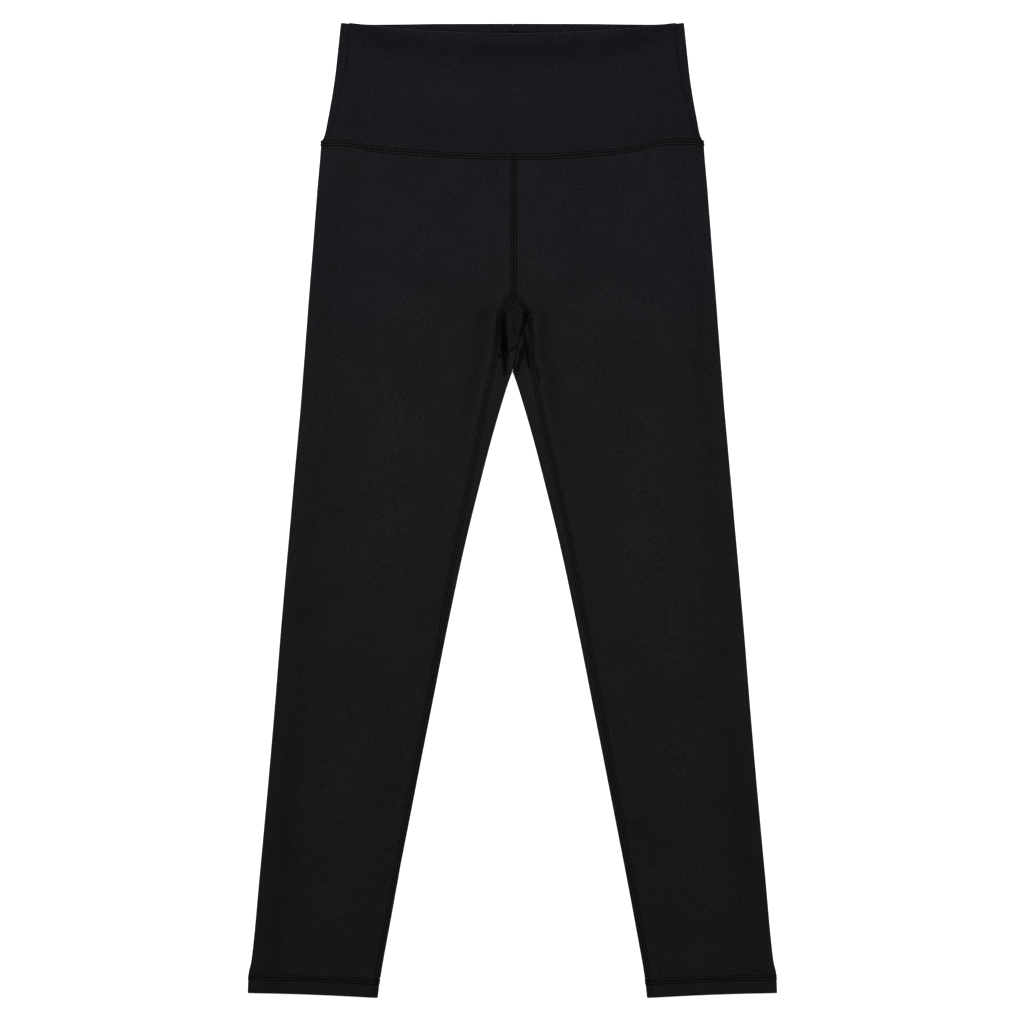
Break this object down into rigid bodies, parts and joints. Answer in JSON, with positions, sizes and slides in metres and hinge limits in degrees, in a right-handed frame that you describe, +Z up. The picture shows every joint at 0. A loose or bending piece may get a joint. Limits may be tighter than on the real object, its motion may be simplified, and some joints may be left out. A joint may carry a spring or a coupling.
{
  "type": "leggings",
  "caption": "High-waisted full-length leggings laid flat, with a deep waistband, a diamond gusset and hemmed ankles.",
  "frame": {"origin": "on the surface that the leggings lie on, under the middle of their bounding box", "axes": "+Z up, from the garment's back towards its front; +Y along the garment towards the waist; +X towards the wearer's left"},
  "size_m": [0.516, 0.95, 0.0044],
  "materials": {
    "knit": "black brushed stretch knit, matt",
    "waistband_knit": "black smooth stretch knit, matt",
    "thread": "black textured polyester thread"
  },
  "bodies": {
    "root": {"leg_right": "knit", "leg_left": "knit", "gusset": "knit", "waistband_front": "waistband_knit", "waistband_back_right": "waistband_knit", "waistband_back_left": "waistband_knit"}
  },
  "joints": []
}
